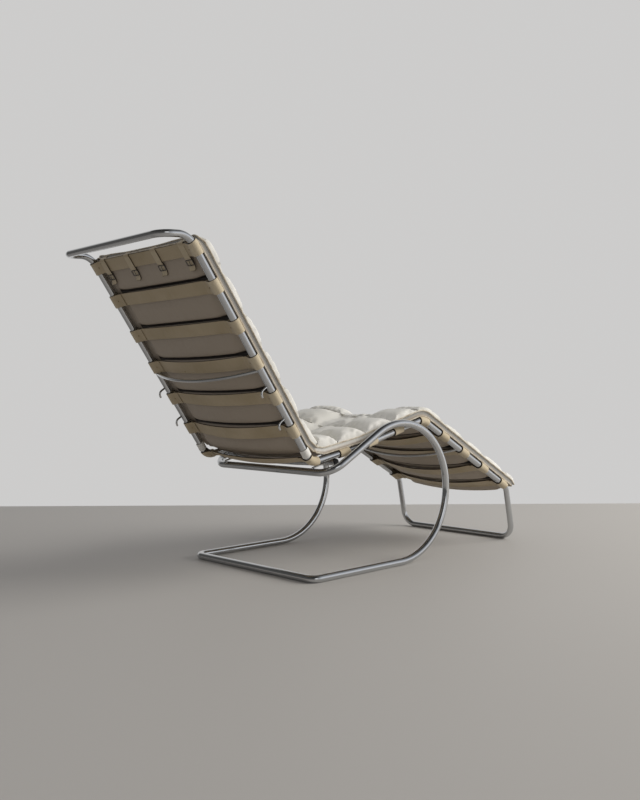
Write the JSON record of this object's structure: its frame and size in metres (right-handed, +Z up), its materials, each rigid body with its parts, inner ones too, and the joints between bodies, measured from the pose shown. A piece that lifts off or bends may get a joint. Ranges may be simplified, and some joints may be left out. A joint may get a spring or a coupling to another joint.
{
  "type": "cantilever lounge chair",
  "caption": "Adjustable armless lounge chair: bent steel tube cantilever base, hooked upper loop slung with leather straps, and one long channelled leather pad.",
  "frame": {"origin": "on the floor under the middle of the outer box", "axes": "+Z up; the feet point to -Y and the head to +Y; the sitter's left is +X"},
  "size_m": [0.5962, 1.47, 0.9694],
  "materials": {
    "chrome_tube": "polished chrome plate",
    "hook_steel": "chrome plated wire",
    "strap_leather": "cream saddle leather, dark cut edges",
    "dark_plastic": "black moulded plug",
    "pad_leather": "soft off-white leather, semi-matt",
    "tie_leather": "cream saddle leather",
    "buckle_metal": "small nickel-bright frames"
  },
  "bodies": {
    "base": {"base_frame": "chrome_tube"},
    "lounger": {"head_bar": "chrome_tube", "rail_left": "chrome_tube", "rail_right": "chrome_tube", "foot_loop": "chrome_tube", "strap_01": "strap_leather", "strap_02": "strap_leather", "strap_03": "strap_leather", "strap_04": "strap_leather", "strap_05": "strap_leather", "strap_06": "strap_leather", "strap_07": "strap_leather", "strap_08": "strap_leather", "strap_09": "strap_leather", "strap_10": "strap_leather", "strap_11": "strap_leather", "strap_12": "strap_leather", "strap_13": "strap_leather", "strap_14": "strap_leather", "strap_15": "strap_leather", "back_stretcher": "chrome_tube", "leg_stretcher": "chrome_tube", "seat_stretcher": "chrome_tube", "plug_left": "dark_plastic", "plug_right": "dark_plastic", "hook_upper_left": "hook_steel", "hook_upper_right": "hook_steel", "hook_middle_left": "hook_steel", "hook_middle_right": "hook_steel", "hook_lower_left": "hook_steel", "hook_lower_right": "hook_steel", "pad": "pad_leather", "pad_loop_left": "pad_leather", "pad_loop_right": "pad_leather", "tie_1": "tie_leather", "tie_2": "tie_leather", "tie_3": "tie_leather", "tie_4": "tie_leather", "buckle_1": "buckle_metal", "buckle_2": "buckle_metal", "buckle_3": "buckle_metal", "buckle_4": "buckle_metal"}
  },
  "joints": [
    {"name": "tip_on_crossbar", "type": "hinge", "parent": "base", "child": "lounger", "pos_m": [0, 0.18238, 0.30752], "axis": [-1, 0, 0], "range_deg": [0, 20]}
  ]
}
